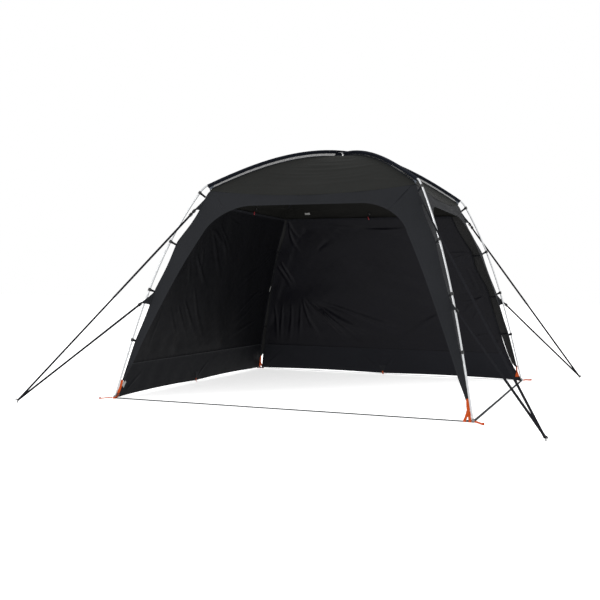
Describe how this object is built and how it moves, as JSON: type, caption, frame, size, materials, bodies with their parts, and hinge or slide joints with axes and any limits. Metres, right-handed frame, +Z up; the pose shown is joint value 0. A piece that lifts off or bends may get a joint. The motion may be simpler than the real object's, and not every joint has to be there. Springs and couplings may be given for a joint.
{
  "type": "camping shelter",
  "caption": "Square domed camping shelter on crossed arches, with arched openings, zipped walls on the back and left, clips and guys to stakes.",
  "frame": {"origin": "on the ground at the centre of the square that the four feet stand on", "axes": "+Z up; the open front faces -Y, the open right side faces +X, the walls are on the back (+Y) and left (-X)"},
  "size_m": [4.252, 4.2624, 2.3134],
  "materials": {
    "pole_metal": "satin anodised tube",
    "sleeve_cloth": "dark woven sleeve",
    "net_cloth": "light grey net",
    "roof_cloth": "coated woven cloth, slight sheen",
    "side_cloth": "coated woven cloth, matte",
    "wall_cloth": "thin woven cloth, matte",
    "webbing": "black flat webbing",
    "orange_webbing": "orange flat webbing"
  },
  "bodies": {
    "root": {"leg_front_left": "pole_metal", "leg_front_right": "pole_metal", "leg_back_right": "pole_metal", "leg_back_left": "pole_metal", "roof_pole_upper": "pole_metal", "roof_pole_lower": "pole_metal", "sleeve_front_left": "sleeve_cloth", "sleeve_front_right": "sleeve_cloth", "sleeve_back_right": "sleeve_cloth", "sleeve_back_left": "sleeve_cloth", "net_front_left": "net_cloth", "net_front_right": "net_cloth", "net_back_right": "net_cloth", "net_back_left": "net_cloth", "roof_front": "roof_cloth", "roof_right": "roof_cloth", "roof_back": "roof_cloth", "roof_left": "roof_cloth", "eave_band_front": "side_cloth", "eave_band_right": "side_cloth", "eave_band_back": "side_cloth", "eave_band_left": "side_cloth", "corner_front_left": "side_cloth", "corner_front_right": "side_cloth", "corner_back_right": "side_cloth", "corner_back_left": "side_cloth", "left_wall": "wall_cloth", "back_wall": "wall_cloth", "guy_upper_front_left": "webbing", "guy_upper_front_right": "webbing", "guy_upper_back_right": "webbing", "guy_upper_back_left": "webbing", "guy_lower_front_left": "webbing", "guy_lower_front_right": "webbing", "guy_lower_back_right": "webbing", "guy_lower_back_left": "webbing", "foot_strap_front_left": "orange_webbing", "foot_strap_front_right": "orange_webbing", "foot_strap_back_right": "orange_webbing", "foot_strap_back_left": "orange_webbing", "ground_strap_front": "webbing", "ground_strap_right": "webbing", "ground_strap_back": "webbing", "ground_strap_left": "webbing"}
  },
  "joints": []
}
